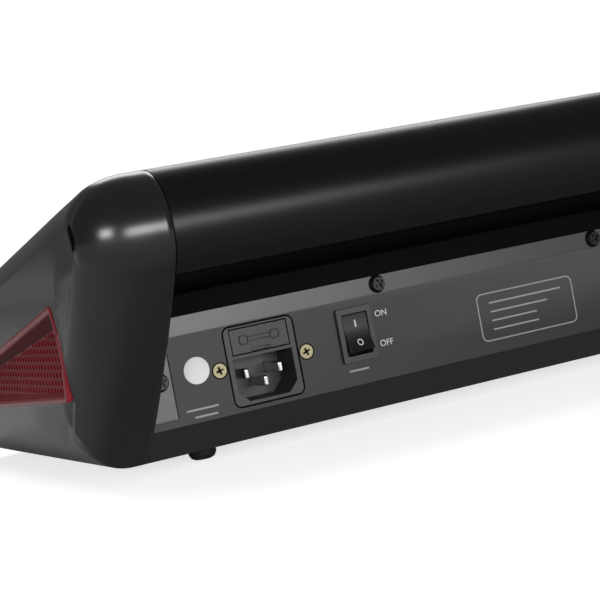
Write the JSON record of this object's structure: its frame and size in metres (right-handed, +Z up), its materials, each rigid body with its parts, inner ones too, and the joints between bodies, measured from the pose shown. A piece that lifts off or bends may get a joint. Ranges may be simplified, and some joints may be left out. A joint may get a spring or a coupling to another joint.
{
  "type": "counterfeit bill detector",
  "caption": "Desktop banknote checker: rolled steel top over a lit viewing bay, moulded end cheeks with red vents, rear power inlet and rocker switch.",
  "frame": {"origin": "centre of the footprint box, on the plane under the rubber feet", "axes": "+Z up, +Y towards the rear with the power inlet, -Y towards the open viewing bay, +X towards the cheek beside the inlet; metres"},
  "size_m": [0.368, 0.28, 0.1127],
  "materials": {
    "aluminium": "satin",
    "bezel_black": "fine texture",
    "black_screw": "black oxide",
    "board": "solder mask",
    "bright_steel": "ground",
    "cheek_black": "fine spark-eroded texture",
    "connector_green": "moulded",
    "cover_black": "satin black paint, soft sheen",
    "head_metal": "lapped metal",
    "inner_steel": "dark grey paint",
    "key_red": "satin",
    "key_violet": "satin",
    "key_white": "satin",
    "knob_black": "soft touch",
    "lead": "wire sleeve",
    "led": "phosphor",
    "lens_glass": "clear",
    "light_pipe": "frosted clear",
    "mirror_aluminium": "polished",
    "nickel": "bright nickel",
    "opal": "opal acrylic",
    "pan_steel": "black powder coat, fine texture",
    "panel_black": "smooth printed black plate",
    "rubber": "matt",
    "sleeve_blue": "shrunk sleeve",
    "small_black": "moulded",
    "socket_black": "moulded",
    "steel_screw": "zinc",
    "sticker": "matt white",
    "switch_black": "polished black",
    "transformer": "taped winding",
    "uv_glass": "dark violet lamp glass",
    "vent_red": "dark red translucent gloss",
    "white_board": "white solder mask",
    "white_plastic": "satin",
    "window_tint": "violet filter acrylic",
    "zinc_screw": "yellow zinc"
  },
  "bodies": {
    "housing": {"bottom_pan": "pan_steel", "rear_panel": "panel_black", "top_cover": "cover_black", "rear_soffit": "inner_steel", "cheek_right": "cheek_black", "cheek_left": "cheek_black", "vent_right": "vent_red", "vent_left": "vent_red", "side_plate_right": "inner_steel", "side_plate_left": "inner_steel", "front_fascia": "bezel_black", "bay_partition": "inner_steel", "bed_frame": "white_plastic", "bed_diffuser": "opal", "backlight_board": "white_board", "backlight_leds": "led", "uv_tubes": "uv_glass", "tube_caps": "aluminium", "lamp_holders": "white_plastic", "reflector": "mirror_aluminium", "window_pane": "window_tint", "window_frame": "bezel_black", "power_board": "board", "transformer": "transformer", "capacitors": "sleeve_blue", "terminal_block": "connector_green", "standoffs": "nickel", "mains_leads": "lead", "inlet_housing": "socket_black", "inlet_contacts": "nickel", "inlet_screws": "zinc_screw", "switch_housing": "switch_black", "switch_terminals": "nickel", "rear_screws": "black_screw", "cheek_screws": "steel_screw", "base_screws": "steel_screw", "rubber_feet": "rubber", "sticker": "sticker", "keypad_bezel": "bezel_black", "control_board": "board", "key_switches": "small_black", "indicator_lights": "light_pipe", "buzzer": "small_black", "magnetic_head": "head_metal", "potentiometer": "steel_screw", "rail_brackets": "bezel_black", "magnifier_rail": "bright_steel"},
    "rocker": {"switch_rocker": "switch_black"},
    "fuse_carrier": {"fuse_drawer": "socket_black", "fuses": "nickel"},
    "key_uv": {"button_uv": "key_violet"},
    "key_white": {"button_white": "key_white"},
    "key_magnet": {"button_magnet": "key_red"},
    "knob": {"sensitivity_knob": "knob_black", "knob_shaft": "bright_steel"},
    "magnifier": {"magnifier_carriage": "bezel_black", "magnifier_lens": "lens_glass"}
  },
  "joints": [
    {"name": "rocker_tilt", "type": "hinge", "parent": "housing", "child": "rocker", "pos_m": [0.064, 0.0763, 0.0367], "axis": [1, 0, 0], "range_deg": [-26, 0]},
    {"name": "fuse_drawer_slide", "type": "slide", "parent": "housing", "child": "fuse_carrier", "axis": [0, 1, 0], "range_m": [0, 0.018]},
    {"name": "knob_turn", "type": "hinge", "parent": "housing", "child": "knob", "pos_m": [0.106, 0.05254, 0.10096], "axis": [0, -0.153, 0.9882], "range_deg": [0, 270]},
    {"name": "magnifier_slide", "type": "slide", "parent": "housing", "child": "magnifier", "axis": [1, 0, 0], "range_m": [-0.136, 0.03]},
    {"name": "key_uv_press", "type": "slide", "parent": "housing", "child": "key_uv", "axis": [0, 0.153, -0.9882], "range_m": [0, 0.0012], "stiffness_N_per_m": 300},
    {"name": "key_white_press", "type": "slide", "parent": "housing", "child": "key_white", "axis": [0, 0.153, -0.9882], "range_m": [0, 0.0012], "stiffness_N_per_m": 300},
    {"name": "key_magnet_press", "type": "slide", "parent": "housing", "child": "key_magnet", "axis": [0, 0.153, -0.9882], "range_m": [0, 0.0012], "stiffness_N_per_m": 300}
  ]
}
